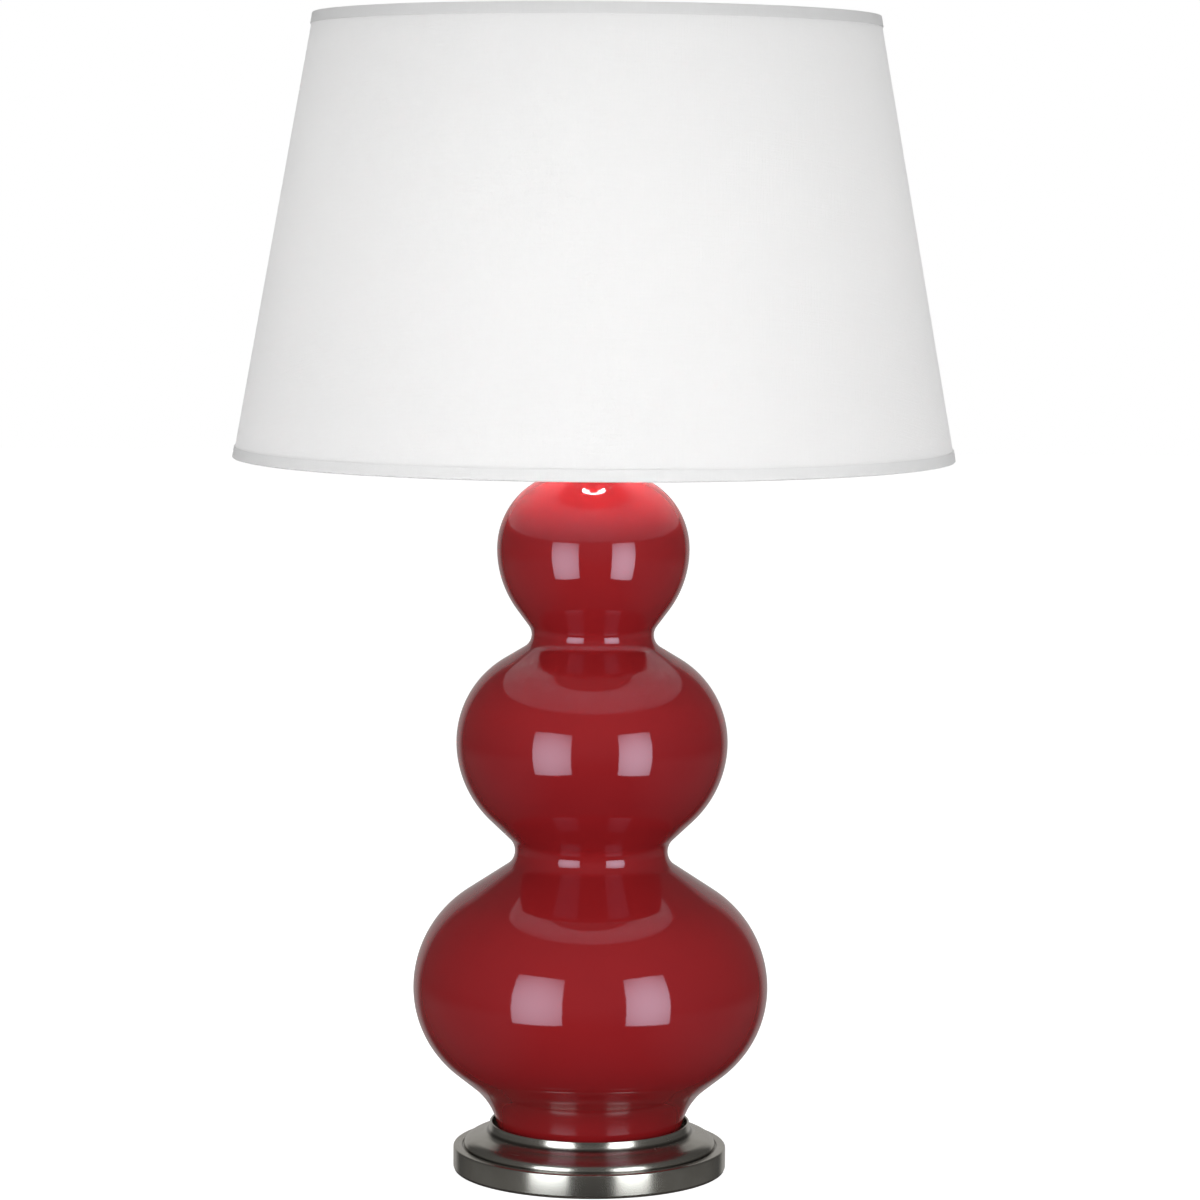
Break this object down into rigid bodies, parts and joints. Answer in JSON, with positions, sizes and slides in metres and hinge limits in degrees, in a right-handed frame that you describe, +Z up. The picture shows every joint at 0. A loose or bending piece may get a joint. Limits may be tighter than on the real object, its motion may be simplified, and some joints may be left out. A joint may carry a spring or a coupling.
{
  "type": "triple gourd table lamp",
  "caption": "Table lamp with a glazed ceramic triple gourd body on a turned metal base, a harp and a lined linen empire shade.",
  "frame": {"origin": "centre of the felt under the base, on the surface that the lamp stands on", "axes": "+Z up the lamp's axis; -Y is the front, where the switch knob points; the cord inlet is at +Y"},
  "size_m": [0.4823, 0.4823, 0.7813],
  "materials": {
    "felt": "dense felt",
    "base_metal": "antique silver plate, satin polish",
    "bushing_plastic": "moulded",
    "gasket_rubber": "moulded",
    "red_glaze": "gloss red glaze",
    "zinc_steel": "zinc plated",
    "fitting_metal": "antique silver plate, satin polish",
    "harp_metal": "nickel plated",
    "socket_metal": "nickel plated",
    "liner_board": "pressed fibre board",
    "core_plastic": "moulded phenolic",
    "brass": "bright",
    "knob_plastic": "moulded, fluted",
    "bulb_glass": "soft white coated glass",
    "bulb_metal": "rolled",
    "black_glass": "vitreous",
    "solder": "dull solder",
    "frame_paint": "white enamel",
    "shade_lining": "white styrene backing",
    "shade_linen": "white slubbed linen",
    "shade_tape": "white linen tape"
  },
  "bodies": {
    "lamp": {"felt_pad": "felt", "base_pedestal": "base_metal", "cord_bushing": "bushing_plastic", "seat_gasket": "gasket_rubber", "gourd_body": "red_glaze", "lamp_pipe": "zinc_steel", "bottom_washer": "zinc_steel", "lock_washer": "zinc_steel", "bottom_nut": "zinc_steel", "vase_cap": "fitting_metal", "neck": "fitting_metal", "harp_saddle": "harp_metal", "saddle_nut": "zinc_steel", "harp_wire": "harp_metal", "harp_stud": "harp_metal", "socket_cap": "socket_metal", "socket_shell": "socket_metal", "socket_liner": "liner_board", "socket_core": "core_plastic", "terminal_screws": "brass", "screw_shell": "brass", "centre_contact": "brass"},
    "switch": {"switch_shaft": "zinc_steel", "switch_knob": "knob_plastic"},
    "sleeve_left": {"harp_sleeve_left": "harp_metal"},
    "sleeve_right": {"harp_sleeve_right": "harp_metal"},
    "bulb": {"bulb_glass": "bulb_glass", "bulb_base": "bulb_metal", "bulb_insulator": "black_glass", "bulb_tip": "solder"},
    "shade": {"shade_spider": "frame_paint", "shade_top_ring": "frame_paint", "shade_bottom_ring": "frame_paint", "shade_lining": "shade_lining", "shade_fabric": "shade_linen", "shade_top_tape": "shade_tape", "shade_bottom_tape": "shade_tape"},
    "finial_knob": {"finial": "fitting_metal"}
  },
  "joints": [
    {"name": "switch_turn", "type": "hinge", "parent": "lamp", "child": "switch", "pos_m": [0, -0.026, 0.53152], "axis": [0, -1, 0], "continuous": true},
    {"name": "sleeve_left_lift", "type": "slide", "parent": "lamp", "child": "sleeve_left", "axis": [0, 0, 1], "range_m": [0, 0.01]},
    {"name": "sleeve_right_lift", "type": "slide", "parent": "lamp", "child": "sleeve_right", "axis": [0, 0, 1], "range_m": [0, 0.01]},
    {"name": "bulb_turn", "type": "hinge", "parent": "lamp", "child": "bulb", "pos_m": [0, 0, 0.56], "axis": [0, 0, 1], "range_deg": [0, 1080]},
    {"name": "shade_turn", "type": "hinge", "parent": "lamp", "child": "shade", "pos_m": [0, 0, 0.7546], "axis": [0, 0, 1], "continuous": true},
    {"name": "finial_turn", "type": "hinge", "parent": "lamp", "child": "finial_knob", "pos_m": [0, 0, 0.76], "axis": [0, 0, 1], "continuous": true}
  ]
}
